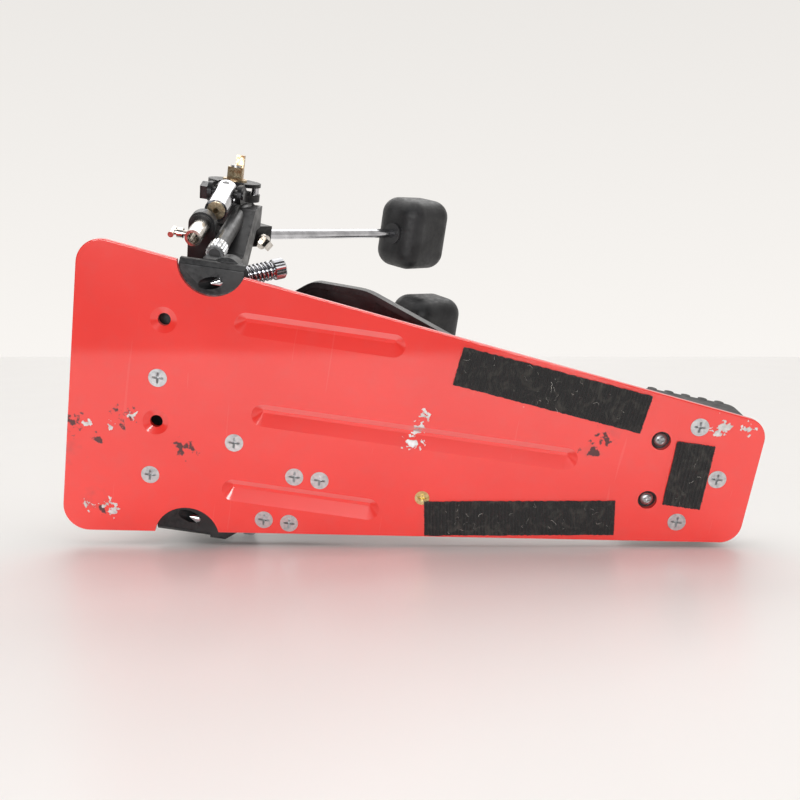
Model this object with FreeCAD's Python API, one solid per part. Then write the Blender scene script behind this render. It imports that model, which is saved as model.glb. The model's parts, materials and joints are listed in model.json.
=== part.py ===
import FreeCAD, Part
import math
import os

# Bass drum pedal: the primary half of a double pedal, with a main beater and a slave beater.
# Millimetres, +Z up. While modelling, X = 0 is the pedal's centre line (+X towards the player's
# left), Y = 0 is the middle of the base plate's length (+Y towards the heel) and Z = 0 is the
# underside of the base plate. move_to_origin() then puts the origin at the centre of the bottom
# of the whole object's box.

V = FreeCAD.Vector
X_AXIS = V(1, 0, 0)
Y_AXIS = V(0, 1, 0)
Z_AXIS = V(0, 0, 1)

# Base plate
PLATE_LENGTH = 350.0
PLATE_FRONT_WIDTH = 157.0
PLATE_HEEL_WIDTH = 66.0
PLATE_T = 3.0
NOTCH_X, NOTCH_Y, NOTCH_R = 73.2, -109.5, 17.0
GROOVES = [(46.5, -90.0, -17.0), (1.0, -77.0, 78.0), (-41.5, -88.0, -18.0)]  # x, first y, last y
GROOVE_HALF_WIDTH = 5.9
GROOVE_OFFSET = 1.5
GROOVE_DEPTH = 3.2
OPEN_HOLES = [(41.3, -130.5), (-11.9, -130.5)]
OPEN_HOLE_R = 3.2
RECESS_HOLES = [(16.2, 123.5), (-16.2, 123.5)]
RECESS_R = 4.9
STRIP_T = 1.8

# Screws through the plate: x, y
CLAMP_SCREWS = [(11.4, -131.2), (-40.7, -131.2)]
BRIDGE_PLATE_SCREW = (-17.1, -90.1)
ARM_SCREWS = [(-31.0, -57.7), (-31.0, -44.6), (-57.0, -70.7), (-57.0, -57.5)]
HEEL_SCREWS = [(26.1, 141.1), (0.0, 156.2), (-26.1, 141.1)]
ZINC_SCREW = (-32.6, 8.9)
HEAD_R, SHANK_R, SCREW_LENGTH = 4.8, 2.5, 9.0

# Axle, beaters and swing
AXLE_Y, AXLE_Z = -118.5, 98.0
AXLE_R = 6.0
HEX_FLATS = 12.0
BEATER_R = 167.4
MAIN_X, MAIN_LEAN = 8.7, 47.5
SLAVE_X, SLAVE_LEAN = 72.4, 39.4
ROD_R = 3.0
HUB_R, NECK_REACH = 12.0, 26.5
SCREW_REACH = 18.5  # of a hub's screw, from the axle
RUN = 0.05  # radial clearance of a shaft that turns in a hole

# Posts
POST_FRONT, POST_BACK = -126.0, -94.0
FOOT_IN, FOOT_OUT, FOOT_TOP = 50.0, 72.5, 11.0
HOUSING_IN, HOUSING_T, HOUSING_R = 79.2, 12.8, 12.5
RIGHT_SET_IN = 5.2  # how much nearer the centre line the right housing is than the left one
BEARING_R = 11.0
BRIDGE_TOP = 9.0

# Footboard and heel
HINGE_Y, HINGE_Z = 107.0, 17.0
BOARD_LEAN = 13.5
BOARD_T = 4.0
BOARD_UNDER = 4.0
KNUCKLE_R = 6.5
PIN_R = 3.0
HEEL_TOP = 25.0

# Chain drive
CAM_X = -12.0
CHAIN_R = 26.0
FLANGE_R = 33.5
CHAIN_PITCH = 8.0
LINK_R = 3.2
TOE_PIN_BACK = 258.6  # from the heel hinge, along the board

# Spring side
ROCKER_X = -39.0
ROCKER_R, ROCKER_DROP = 14.0, 25.0
SPRING_X, SPRING_Y = -45.0, -104.4

# Linkage on the slave axle's outer end
JOINT = V(98.57, AXLE_Y, 71.55)
SLEEVE_DIR = V(-0.287, 0, -0.958)
SLEEVE_SIDE = V(0.958, 0, -0.287)
SLEEVE_R, SLEEVE_LENGTH, BUSH_LENGTH = 6.0, 24.5, 7.5

# Tube in the left post's round lug, the stay rod beside it and the spur screws
TUBE_MOUTH = V(80.0, -123.5, 20.0)
TUBE_DIR = V(0.208, 0, 0.978)
TUBE_R, TUBE_BORE, TUBE_LENGTH = 4.3, 2.9, 28.0
LUG_T = 6.0
STAY_FOOT = V(73.6, -112.1, 20.0)
STAY_DIR = V(15.0, 1.5, 62.0)
SPUR_TIP = V(62.2, -109.8, 3.0)
SPUR_FREE = 17.5  # length of the spur inside its boss; its spring starts there
SPUR_DIR = V(0.2404, 0.8314, 0.5009)

# Hoop clamp
CLAMP_X = -14.5
CLAMP_HALF = 25.0
JAW_Y, JAW_Z = -147.0, 22.0
CLAMP_SCREW_Y = -125.4


def box(x0, x1, y0, y1, z0, z1):
    return Part.makeBox(x1 - x0, y1 - y0, z1 - z0, V(x0, y0, z0))


def rod(start, direction, radius, length):
    return Part.makeCylinder(radius, length, start, direction)


def ring(start, direction, radius, bore, length):
    return rod(start, direction, radius, length).cut(rod(start, direction, bore, length))


def cone(start, direction, radius, end_radius, length):
    return Part.makeCone(radius, end_radius, length, start, direction)


def aimed(shape, start, direction):
    """Turn a shape built along +Z so that it runs along direction from start."""
    turned = shape.copy()
    turned.Placement = FreeCAD.Placement(start, FreeCAD.Rotation(Z_AXIS, direction))
    return turned


def along(start, direction, distance):
    unit = V(direction)
    unit.normalize()
    return start + unit * distance


def rounded_face(corners):
    """Face in the XY plane from corners (x, y, radius), each rounded by an arc."""
    cuts = []
    for i, (x, y, radius) in enumerate(corners):
        here = V(x, y, 0)
        back = V(corners[i - 1][0], corners[i - 1][1], 0) - here
        ahead = V(corners[(i + 1) % len(corners)][0], corners[(i + 1) % len(corners)][1], 0) - here
        back.normalize()
        ahead.normalize()
        half = back.getAngle(ahead) / 2
        middle = back + ahead
        middle.normalize()
        reach = radius / math.tan(half)
        crown = here + middle * (radius / math.sin(half) - radius)
        cuts.append((here + back * reach, crown, here + ahead * reach))
    edges = []
    for i, (enter, crown, leave) in enumerate(cuts):
        if enter.distanceToPoint(leave) > 1e-6:
            edges.append(Part.Arc(enter, crown, leave).toShape())
        following = cuts[(i + 1) % len(cuts)][0]
        if leave.distanceToPoint(following) > 1e-6:
            edges.append(Part.makeLine(leave, following))
    return Part.Face(Part.Wire(edges))


def slab_xz(corners, y0, y1):
    """Slab between two Y planes whose outline is given as (x, z, radius) corners."""
    face = rounded_face(corners)
    face.rotate(V(0, 0, 0), X_AXIS, 90)
    face.translate(V(0, y0, 0))
    return face.extrude(V(0, y1 - y0, 0))


def slab_yz(corners, x0, x1):
    """Slab between two X planes whose outline is given as (y, z, radius) corners."""
    face = rounded_face(corners)
    face.Placement = FreeCAD.Placement(V(x0, 0, 0), FreeCAD.Rotation(V(1, 1, 1), 120))
    return face.extrude(V(x1 - x0, 0, 0))


def hexagon(start, direction, flats, length):
    corner = flats / math.sqrt(3)
    points = [V(corner * math.cos(math.radians(60 * i)), corner * math.sin(math.radians(60 * i)), 0)
              for i in range(7)]
    face = Part.Face(Part.makePolygon(points))
    return aimed(face.extrude(V(0, 0, length)), start, direction)


def knurled(start, direction, radius, length, teeth):
    """Thumb screw head with straight knurling."""
    points = []
    for i in range(2 * teeth + 1):
        reach = radius if i % 2 else radius - 0.45
        angle = math.pi * i / teeth
        points.append(V(reach * math.cos(angle), reach * math.sin(angle), 0))
    core = Part.Face(Part.makePolygon(points)).extrude(V(0, 0, length))
    bevel = cone(V(0, 0, 0), Z_AXIS, radius - 0.9, radius + length - 0.9, length)
    bevel = bevel.common(cone(V(0, 0, 0), Z_AXIS, radius + length - 0.9, radius - 0.9, length))
    return aimed(core.common(bevel), start, direction)


def cross_recess(depth, reach):
    """Cross-head recess that opens downwards at Z = 0."""
    blades = box(-reach, reach, -0.55, 0.55, -0.1, depth)
    blades = blades.fuse(box(-0.55, 0.55, -reach, reach, -0.1, depth))
    return blades.common(cone(V(0, 0, -0.1), Z_AXIS, reach, 0.6, depth + 0.1))


def countersunk_screw(x, y, head_r, shank_r, length):
    head_t = head_r - shank_r
    screw = cone(V(0, 0, 0.05), Z_AXIS, head_r - 0.12, shank_r, head_t - 0.15)
    screw = screw.fuse(rod(V(0, 0, 0), Z_AXIS, head_r - 0.12, 0.05))
    screw = screw.fuse(rod(V(0, 0, 0), Z_AXIS, shank_r, length))
    screw = screw.cut(cross_recess(1.9, 3.0 * head_r / HEAD_R))
    screw.translate(V(x, y, 0))
    return screw


def screw_holes(points, top):
    return [rod(V(x, y, 0), Z_AXIS, SHANK_R + 0.05, top) for x, y in points]


def stadium(half_width, x, y0, y1, z):
    """Closed outline with straight sides and round ends, at height z."""
    arc_front = Part.Arc(V(x + half_width, y1, z), V(x, y1 + half_width, z), V(x - half_width, y1, z))
    arc_back = Part.Arc(V(x - half_width, y0, z), V(x, y0 - half_width, z), V(x + half_width, y0, z))
    left = Part.makeLine(V(x - half_width, y1, z), V(x - half_width, y0, z))
    right = Part.makeLine(V(x + half_width, y0, z), V(x + half_width, y1, z))
    return Part.Wire([arc_front.toShape(), left, arc_back.toShape(), right])


def pressed_form(grow, depth, x, y0, y1):
    """Long V-shaped form with round ends and one steeper side, standing on Z = 0."""
    mouth = stadium(GROOVE_HALF_WIDTH + grow, x - GROOVE_OFFSET, y0, y1, 0)
    root = stadium(0.9 + grow, x, y0, y1, depth)
    return Part.makeLoft([mouth, root], True, True)


def base_plate():
    front, heel, half = PLATE_FRONT_WIDTH / 2, PLATE_HEEL_WIDTH / 2, PLATE_LENGTH / 2
    outline = rounded_face([(-front, -half, 13), (front, -half, 13), (heel, half, 11), (-heel, half, 11)])
    plate = outline.extrude(V(0, 0, PLATE_T))
    rim = [e for e in plate.Edges if e.BoundBox.ZLength < 0.001]
    plate = plate.makeFillet(0.7, rim)
    for side in (-1, 1):
        plate = plate.cut(rod(V(side * NOTCH_X, NOTCH_Y, -1), Z_AXIS, NOTCH_R, PLATE_T + 2))
    for x, y0, y1 in GROOVES:
        ridge = pressed_form(0, GROOVE_DEPTH, x, y0, y1)
        ridge.translate(V(0, 0, PLATE_T))
        plate = plate.fuse(ridge).cut(pressed_form(0, GROOVE_DEPTH, x, y0, y1))
    for x, y in OPEN_HOLES:
        plate = plate.fuse(cone(V(x, y, PLATE_T), Z_AXIS, 6.6, 5.2, 1.4))
        plate = plate.cut(cone(V(x, y, 0), Z_AXIS, 6.6, OPEN_HOLE_R, 1.8))
        plate = plate.cut(rod(V(x, y, -1), Z_AXIS, OPEN_HOLE_R, 8))
    for x, y in RECESS_HOLES:
        plate = plate.cut(rod(V(x, y, -1), Z_AXIS, RECESS_R, 6))
    for x, y in CLAMP_SCREWS + [BRIDGE_PLATE_SCREW] + ARM_SCREWS + HEEL_SCREWS:
        plate = plate.cut(cone(V(x, y, 0), Z_AXIS, HEAD_R, SHANK_R + 0.05, HEAD_R - SHANK_R))
        plate = plate.cut(rod(V(x, y, 0), Z_AXIS, SHANK_R + 0.05, 6))
    x, y = ZINC_SCREW
    plate = plate.cut(cone(V(x, y, 0), Z_AXIS, 3.9, 2.05, 1.85))
    return plate.cut(rod(V(x, y, 0), Z_AXIS, 2.05, 6))


def hook_strip(x, y, width, length, angle):
    """Hook-tape strip stuck to the plate's underside, turned about Z."""
    strip = box(-width / 2, width / 2, -length / 2, length / 2, -STRIP_T, 0)
    strip.rotate(V(0, 0, 0), Z_AXIS, angle)
    strip.translate(V(x, y, 0))
    return strip


def plate_screws():
    points = CLAMP_SCREWS + [BRIDGE_PLATE_SCREW] + ARM_SCREWS + HEEL_SCREWS
    return Part.makeCompound([countersunk_screw(x, y, HEAD_R, SHANK_R, SCREW_LENGTH) for x, y in points])


def zinc_screw():
    x, y = ZINC_SCREW
    return countersunk_screw(x, y, 3.9, 2.0, 6.0)


def pan_screw(x, y):
    """Pan-head screw set deep in a plate hole, its head facing down."""
    head = rod(V(0, 0, 0), Z_AXIS, 3.3, 2.4)
    head = head.common(Part.makeSphere(4.6, V(0, 0, 4.2)))
    screw = head.fuse(rod(V(0, 0, 2.0), Z_AXIS, SHANK_R, 11)).cut(cross_recess(1.5, 2.0))
    screw.translate(V(x, y, 0.6))
    return screw


def heel_block_screws():
    return Part.makeCompound([pan_screw(x, y) for x, y in RECESS_HOLES])


def tower_bridge():
    bar = box(-FOOT_IN, FOOT_IN, -122, -84, PLATE_T, BRIDGE_TOP)
    corners = [e for e in bar.Edges if e.Length < 7]
    bar = bar.makeChamfer(2.0, corners)
    for hole in screw_holes([BRIDGE_PLATE_SCREW], 10):
        bar = bar.cut(hole)
    bar = bar.cut(rod(V(SPRING_X, SPRING_Y, 0), Z_AXIS, 2.55, 20))
    for x, y in bridge_screw_points():
        bar = bar.cut(rod(V(x, y, 4), Z_AXIS, SHANK_R + 0.05, 10))
    bar = bar.cut(rod(V(CLAMP_X, CLAMP_SCREW_Y, 0), Z_AXIS, 5.5, 20))
    for x, y, _ in GROOVES:
        bar = bar.cut(box(x - 9.8, x + 9.8, y - 10.5, -80, PLATE_T - 1, PLATE_T + 3.4))
    return bar


def bridge_screw_points():
    return [(side * x, -116.0) for side in (-1, 1) for x in (35.0, 45.0)]


def bridge_screws():
    """Socket-head screws that hold the posts' tongues down on the bridge."""
    screws = []
    for x, y in bridge_screw_points():
        screw = rod(V(x, y, 13), Z_AXIS, 4.2, 4).fuse(rod(V(x, y, 4.2), Z_AXIS, SHANK_R, 10))
        screws.append(screw.cut(hexagon(V(x, y, 14.5), Z_AXIS, 4, 4)))
    return Part.makeCompound(screws)


def spur_bore():
    """Space for a spur in its boss, and for its spring behind the boss."""
    bore = rod(along(SPUR_TIP, SPUR_DIR, -8), SPUR_DIR, 3.0 + RUN, 40)
    return bore.fuse(rod(along(SPUR_TIP, SPUR_DIR, SPUR_FREE), SPUR_DIR, 6.0, 25))


def groove_relief(groove):
    """Space over the ridge that a pressed groove raises on the plate's top."""
    relief = pressed_form(0.6, GROOVE_DEPTH + 0.3, *groove)
    relief.translate(V(0, 0, PLATE_T - 0.01))
    return relief


def post_body(set_in):
    """Casting common to both posts, on the +X side: foot, web, gooseneck and bearing housing."""
    inner = HOUSING_IN - set_in
    outer = inner + HOUSING_T
    foot = slab_xz([(FOOT_IN, 3, 0.01), (70, 3, 1), (FOOT_OUT, 5.5, 1.5), (FOOT_OUT, 9, 1),
                    (70.5, FOOT_TOP, 1.5), (FOOT_IN, FOOT_TOP, 0.01)], POST_FRONT, POST_BACK)
    tongue = box(30, 56, -122, -110, BRIDGE_TOP, 13)
    web = slab_xz([(54, 10, 0.01), (69.5, 10, 0.01), (69.5, 46, 8), (outer - 0.5, 74, 6),
                   (outer - 0.5, 98, 1), (inner, 98, 1), (inner, 84, 3), (60, 62, 10), (54, 50, 4)],
                  -111, -101.5)
    wing = slab_yz([(-125.5, 10, 0.01), (-97, 10, 0.01), (-97, 62, 3), (-108, 62, 4), (-125.5, 50, 5)],
                   54, 60)
    housing = rod(V(inner, AXLE_Y, AXLE_Z), X_AXIS, HOUSING_R, HOUSING_T)
    rims = [e for e in housing.Edges if e.Length > 70]
    housing = housing.makeChamfer(1.0, rims)
    boss = rod(along(SPUR_TIP, SPUR_DIR, 4), SPUR_DIR, 6.8, SPUR_FREE - 4)
    boss = boss.common(box(40, 90, -130, -80, PLATE_T, 40))
    post = foot.fuse([tongue, web, wing, housing, boss])
    post = post.cut(rod(V(inner - 1, AXLE_Y, AXLE_Z), X_AXIS, BEARING_R + 0.02, 20))
    for x, y in bridge_screw_points():
        post = post.cut(rod(V(x, y, 4), Z_AXIS, SHANK_R + 0.05, 12))
    return post


def tube_lug():
    """Round-ended lug on the left post, square to the tube that it holds."""
    centre = along(TUBE_MOUTH, TUBE_DIR, 20)
    slab = box(-30, 0, -7, 7, 0, LUG_T).fuse(rod(V(0, 0, 0), Z_AXIS, 7, LUG_T))
    slab = slab.fuse(rod(V(0, 0, -1.2), Z_AXIS, 6.2, LUG_T + 2.4))
    lug = aimed(slab, centre, TUBE_DIR)
    return lug.common(box(56, 100, -140, -100, 0, 90))


def left_post():
    """Post with the tube's lug, a low boss, a tab over the left open hole and the stay's seat."""
    seat = rod(along(STAY_FOOT, STAY_DIR, -14), STAY_DIR, 3.8, 14)
    seat = seat.common(box(50, FOOT_OUT + 0.6, -130, -90, 8, 40))
    boss = rod(V(67.5, -103.5, 8), Z_AXIS, 7.5, 11)
    tab = box(32, 50, -139.5, -120, BRIDGE_TOP, 13)
    post = post_body(0).fuse([tube_lug(), seat, boss, tab])
    post = post.cut(rod(TUBE_MOUTH, TUBE_DIR, TUBE_R + RUN, 60))
    post = post.cut(stay_space(4.32)).cut(rod(along(STAY_FOOT, STAY_DIR, 0), STAY_DIR, 5.0, 10.6))
    return post.cut(spur_bore()).cut(groove_relief(GROOVES[0]))


def right_post():
    """Mirrored post with a long foot arm towards the heel, held by four plate screws."""
    arm = rounded_face([(-24, -76, 4), (-24, -38, 5), (-50, -38, 8), (-61.5, -55, 6), (-64.5, -80, 5),
                        (-72.5, -90, 2), (-72.5, -98, 0.01), (-50.5, -98, 0.01), (-50.5, -83, 3)])
    arm = arm.extrude(V(0, 0, 6))
    arm.translate(V(0, 0, PLATE_T))
    post = post_body(RIGHT_SET_IN).mirror(V(0, 0, 0), X_AXIS).fuse(arm)
    for hole in screw_holes(ARM_SCREWS, 9.5):
        post = post.cut(hole)
    return post.cut(spur_bore().mirror(V(0, 0, 0), X_AXIS)).cut(groove_relief(GROOVES[2]))


def axle_bearings():
    rings = []
    for side, inner in ((-1, HOUSING_IN - RIGHT_SET_IN), (1, HOUSING_IN)):
        for x in (inner + 0.4, inner + 6.6):
            start = V(side * x, AXLE_Y, AXLE_Z)
            rings.append(ring(start, X_AXIS * side, BEARING_R, AXLE_R + RUN, 5.8))
    return Part.makeCompound(rings)


def stay_space(radius):
    """Cylinder along the stay, from its seat to the underside of the left housing."""
    whole = rod(STAY_FOOT, STAY_DIR, radius, 72).common(box(50, 92.6, -140, -90, 0, 120))
    pieces = whole.cut(rod(V(60, AXLE_Y, AXLE_Z), X_AXIS, HOUSING_R, 60)).Solids
    return min(pieces, key=lambda piece: piece.BoundBox.ZMin)


def stay_rod():
    """Stay with a thinner threaded foot that its knurled nut runs on."""
    return stay_space(4.3).cut(ring(STAY_FOOT, STAY_DIR, 6, 3.0, 10.6))


def stay_nut():
    nut = knurled(along(STAY_FOOT, STAY_DIR, 0.1), STAY_DIR, 4.9, 10.4, 18)
    return nut.cut(rod(STAY_FOOT - STAY_DIR, STAY_DIR, 3.02, 100))


def rest_tube():
    tube = ring(TUBE_MOUTH, TUBE_DIR, TUBE_R, TUBE_BORE, TUBE_LENGTH)
    screw_at = along(TUBE_MOUTH, TUBE_DIR, 5)
    return tube.cut(rod(screw_at, -Y_AXIS, 1.6 + RUN, 12))


def tube_screw():
    """Small T-handled screw in the side of the tube, clear of its bore."""
    at = along(TUBE_MOUTH, TUBE_DIR, 5)
    shank = rod(at - Y_AXIS * 3.2, -Y_AXIS, 1.6, 9)
    collar = rod(at - Y_AXIS * 6.0, -Y_AXIS, 2.6, 3)
    handle = rod(at - Y_AXIS * 11.4 - TUBE_DIR * 4.5, TUBE_DIR, 1.5, 9)
    return shank.fuse([collar, handle])


def spur(side):
    tip = cone(V(0, 0, 0), Z_AXIS, 0.4, 3.0, 4)
    screw = tip.fuse([rod(V(0, 0, 4), Z_AXIS, 3.0, 28), rod(V(0, 0, 31.9), Z_AXIS, 4.2, 1)])
    screw = screw.fuse(knurled(V(0, 0, 32.5), Z_AXIS, 5.3, 6.5, 20))
    placed = aimed(screw, SPUR_TIP, SPUR_DIR)
    return placed if side > 0 else placed.mirror(V(0, 0, 0), X_AXIS)


def spur_spring(side):
    coil = ring(along(SPUR_TIP, SPUR_DIR, SPUR_FREE + 0.3), SPUR_DIR, 4.9, 3.7, 13.9)
    return coil if side > 0 else coil.mirror(V(0, 0, 0), X_AXIS)


def clamp_base():
    """U-shaped clamp bracket: a windowed floor and two cheeks that carry the jaw's pin."""
    x0, x1 = CLAMP_X - 31.5, CLAMP_X + 31.5
    base = box(x0, x1, -150, -122.3, PLATE_T, 7)
    base = base.cut(box(x0 + 13, x1 - 11, -143, -127, 0, 9))
    for x, y in OPEN_HOLES:
        base = base.cut(rod(V(x, y, 0), Z_AXIS, 7.5, 9))
    for inner, outer in ((x0, x0 + 5), (x1 - 5, x1)):
        cheek = slab_yz([(-153, PLATE_T, 0.01), (-126, PLATE_T, 0.01), (-126, 9, 2), (-139, 29, 6),
                         (-153, 29, 6)], inner, outer)
        base = base.fuse(cheek)
    for hole in screw_holes(CLAMP_SCREWS, 9.5):
        base = base.cut(hole)
    return base.cut(rod(V(x0 - 1, JAW_Y, JAW_Z), X_AXIS, PIN_R, 80))


def clamp_jaw():
    """Rocking upper jaw: its tip presses on the drum's hoop, its tail carries the hand screw."""
    outline = [(-177, 14.5, 1), (-171, 14.5, 1), (-166, 17, 3), (-141, 17, 6), (-119, 22, 2), (-119, 28, 2),
               (-141, 28, 6), (-168, 23.5, 6), (-177, 19, 2)]
    jaw = slab_yz(outline, CLAMP_X - CLAMP_HALF, CLAMP_X + CLAMP_HALF)
    jaw = jaw.fuse(rod(V(CLAMP_X - CLAMP_HALF, JAW_Y, JAW_Z), X_AXIS, 6.5, 2 * CLAMP_HALF))
    jaw = jaw.cut(rod(V(-60, JAW_Y, JAW_Z), X_AXIS, PIN_R + RUN, 90))
    return jaw.cut(rod(V(CLAMP_X, CLAMP_SCREW_Y, 0), Z_AXIS, 3.0 + RUN, 60))


def clamp_screw():
    screw = rod(V(CLAMP_X, CLAMP_SCREW_Y, 7.3), Z_AXIS, 3.0, 30)
    hub = cone(V(CLAMP_X, CLAMP_SCREW_Y, 34), Z_AXIS, 6.5, 4.5, 7)
    wings = slab_xz([(CLAMP_X - 14, 37, 2), (CLAMP_X, 34.5, 0.01), (CLAMP_X + 14, 37, 2),
                     (CLAMP_X + 12, 44, 3), (CLAMP_X, 38, 4), (CLAMP_X - 12, 44, 3)],
                    CLAMP_SCREW_Y - 1.5, CLAMP_SCREW_Y + 1.5)
    return screw.fuse([hub, wings])


def hinge_block():
    """Block on the plate that carries the heel pin in two ears."""
    block = box(-24, 24, 117, 130, PLATE_T, 16)
    for x0, x1 in ((-24, -17), (17, 24)):
        ear = slab_yz([(130, PLATE_T, 0.01), (130, 16, 1), (112, 22, 1), (HINGE_Y - 6, 22, 5.5),
                       (HINGE_Y - 6, 11, 5.5), (112, PLATE_T, 2)], x0, x1)
        block = block.fuse(ear)
    block = block.cut(rod(V(-30, HINGE_Y, HINGE_Z), X_AXIS, PIN_R, 60))
    for x, y in RECESS_HOLES:
        block = block.cut(rod(V(x, y, 0), Z_AXIS, SHANK_R + 0.05, 14))
        block = block.cut(rod(V(x, y, 0), Z_AXIS, RECESS_R, 3.6))
    return block


def heel_pin():
    pin = rod(V(-33, HINGE_Y, HINGE_Z), X_AXIS, PIN_R, 66)
    heads = [rod(V(x, HINGE_Y, HINGE_Z), X_AXIS, 4.5, 1.6) for x in (33.3, -34.9)]
    return pin.fuse([rod(V(-34, HINGE_Y, HINGE_Z), X_AXIS, PIN_R, 68)] + heads)


def heel_plate():
    """Hollow ribbed casting under the heel, open towards the hinge."""
    outline = [(-36.8, 116, 2), (36.8, 116, 2), (33.5, 171, 12), (-33.5, 171, 12)]
    shell = rounded_face(outline).extrude(V(0, 0, HEEL_TOP - PLATE_T))
    top = [e for e in shell.Edges if e.BoundBox.ZMin > HEEL_TOP - PLATE_T - 0.01]
    shell = shell.makeFillet(2.0, top)
    shell.translate(V(0, 0, PLATE_T))
    for i in range(5):
        y = 120.0 + 9.0 * i
        half = 36.8 - 0.06 * (y - 116) + 0.1
        shell = shell.fuse(rod(V(-half, y, HEEL_TOP - 1), X_AXIS, 2.4, 2 * half))
    hollow = rounded_face([(-32.0, 112, 0.01), (32.0, 112, 0.01), (28.5, 166, 8), (-28.5, 166, 8)])
    hollow = hollow.extrude(V(0, 0, HEEL_TOP - PLATE_T - 4))
    hollow.translate(V(0, 0, PLATE_T))
    for x, y in HEEL_SCREWS:
        hollow = hollow.cut(rod(V(x, y, 0), Z_AXIS, 6, 30))
    shell = shell.cut(hollow)
    for hole in screw_holes(HEEL_SCREWS, 9.5):
        shell = shell.cut(hole)
    return shell


def on_board(shape):
    """Move a shape from the flat board frame, hinge at the origin, to the board's rest position."""
    shape.rotate(V(0, 0, 0), X_AXIS, -BOARD_LEAN)
    shape.translate(V(0, HINGE_Y, HINGE_Z))
    return shape


def board_outline(inset):
    """Narrow heel half, a wide front half and a narrow toe."""
    w = inset
    left = [(33 - w, 5 - w, 3), (41.5 - w, -88, 40), (60.5 - w, -146, 30), (60 - w, -177, 14),
            (32 - w, -213, 14), (28 - w, -246 + w, 10)]
    return rounded_face(left + [(-x, y, radius) for x, y, radius in reversed(left)])


def footboard():
    """Cast foot plate with a turned-down rim, grip ribs, drilled rows and hinge knuckles."""
    board = board_outline(0).extrude(V(0, 0, BOARD_T + 4))
    board.translate(V(0, 0, BOARD_UNDER - 4))
    board = board.makeFillet(1.2, [e for e in board.Edges if e.BoundBox.ZMin > BOARD_UNDER + BOARD_T - 0.01])
    hollow = board_outline(3.2).extrude(V(0, 0, 4))
    hollow.translate(V(0, 0, BOARD_UNDER - 4))
    board = board.cut(hollow)
    for x in (-14.0, 14.0):
        board = board.fuse(box(x - 1.5, x + 1.5, -230, -8, BOARD_UNDER - 3.5, BOARD_UNDER + 0.5))
    for i in range(9):
        for x in (-24.0, 0.0, 24.0):
            reach = 0 if x else 8
            board = board.cut(rod(V(x * (1 + 0.03 * i), -30 - 16 * i - reach, 0), Z_AXIS, 3.4, 20))
    for i in range(7):
        y = -168 - 7.0 * i
        half = 44 if i < 4 else 25
        top = BOARD_UNDER + BOARD_T
        board = board.fuse(box(-half, half, y - 0.9, y + 0.9, top - 0.5, top + 0.9))
    board = board.cut(box(-35, 35, -7.2, 20, -10, BOARD_UNDER))
    for x0, x1 in ((-32.8, -24.4), (-16.6, 16.6), (24.4, 32.8)):
        knuckle = rod(V(x0, 0, 0), X_AXIS, KNUCKLE_R, x1 - x0)
        neck = box(x0, x1, -12, 0, -1, BOARD_UNDER + 1)
        board = board.fuse([knuckle, neck])
    for x0, x1 in ((-24.4, -16.6), (16.6, 24.4)):
        board = board.cut(rod(V(x0, 0, 0), X_AXIS, 8.0, x1 - x0))
    board = board.cut(rod(V(-40, 0, 0), X_AXIS, PIN_R + RUN, 80))
    for x0 in (32.9, -36.9):
        board = board.cut(rod(V(x0, 0, 0), X_AXIS, 5.2, 4))
    board = board.cut(box(CAM_X - 13.2, CAM_X + 13.2, -250, -231.8, BOARD_UNDER - 4.1, BOARD_UNDER))
    for x in (CAM_X - 9, CAM_X + 9):
        board = board.cut(rod(V(x, -238, 0), Z_AXIS, 2.05, 20))
    return on_board(board)


def toe_clip():
    """Forked clip under the board's toe that holds the chain's lower pin."""
    clip = box(CAM_X - 13, CAM_X + 13, -244, -232, BOARD_UNDER - 3, BOARD_UNDER)
    for x0 in (CAM_X - 9.5, CAM_X + 6.5):
        cheek = slab_yz([(-243, BOARD_UNDER, 0.5), (-243, -3.5, 1), (-TOE_PIN_BACK - 4, -4, 3.6),
                         (-TOE_PIN_BACK - 4, 4, 3.6)], x0, x0 + 3)
        clip = clip.fuse(cheek)
    clip = clip.cut(rod(V(-60, -TOE_PIN_BACK, 0), X_AXIS, 2.0, 120))
    for x in (CAM_X - 9, CAM_X + 9):
        clip = clip.cut(rod(V(x, -238, -9), Z_AXIS, 2.05, 20))
    return on_board(clip)


def toe_pin():
    pin = rod(V(CAM_X - 10.5, -TOE_PIN_BACK, 0), X_AXIS, 2.0, 21)
    heads = [rod(V(CAM_X + x, -TOE_PIN_BACK, 0), X_AXIS, 3.0, 2) for x in (-11.5, 9.5)]
    return on_board(pin.fuse(heads))


def toe_clip_screws():
    screws = []
    for x in (CAM_X - 9, CAM_X + 9):
        head = cone(V(x, -238, BOARD_UNDER + BOARD_T), Z_AXIS, 3.6, 2.6, 2.2)
        screws.append(head.fuse(rod(V(x, -238, BOARD_UNDER - 4), Z_AXIS, 2.0, BOARD_T + 5)))
    return on_board(Part.makeCompound(screws))


def toe_pin_place():
    """Rest position of the chain's lower pin, as (y, z)."""
    lean = math.radians(BOARD_LEAN)
    return HINGE_Y - TOE_PIN_BACK * math.cos(lean), HINGE_Z + TOE_PIN_BACK * math.sin(lean)


def link_plate(a, b, x0, x1):
    """Chain side plate between two pins given as (y, z)."""
    length = math.dist(a, b)
    plate = rod(V(x0, a[0], a[1]), X_AXIS, LINK_R, x1 - x0)
    plate = plate.fuse(rod(V(x0, b[0], b[1]), X_AXIS, LINK_R, x1 - x0))
    bar = Part.makeBox(length, 4.6, x1 - x0, V(0, -2.3, 0))
    bar.Placement = FreeCAD.Placement(V(x0, a[0], a[1]), FreeCAD.Rotation(V(1, 1, 1), 120))
    turned = bar.copy()
    angle = math.degrees(math.atan2(b[1] - a[1], b[0] - a[0]))
    turned.rotate(V(x0, a[0], a[1]), X_AXIS, angle)
    return plate.fuse(turned)


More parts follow.
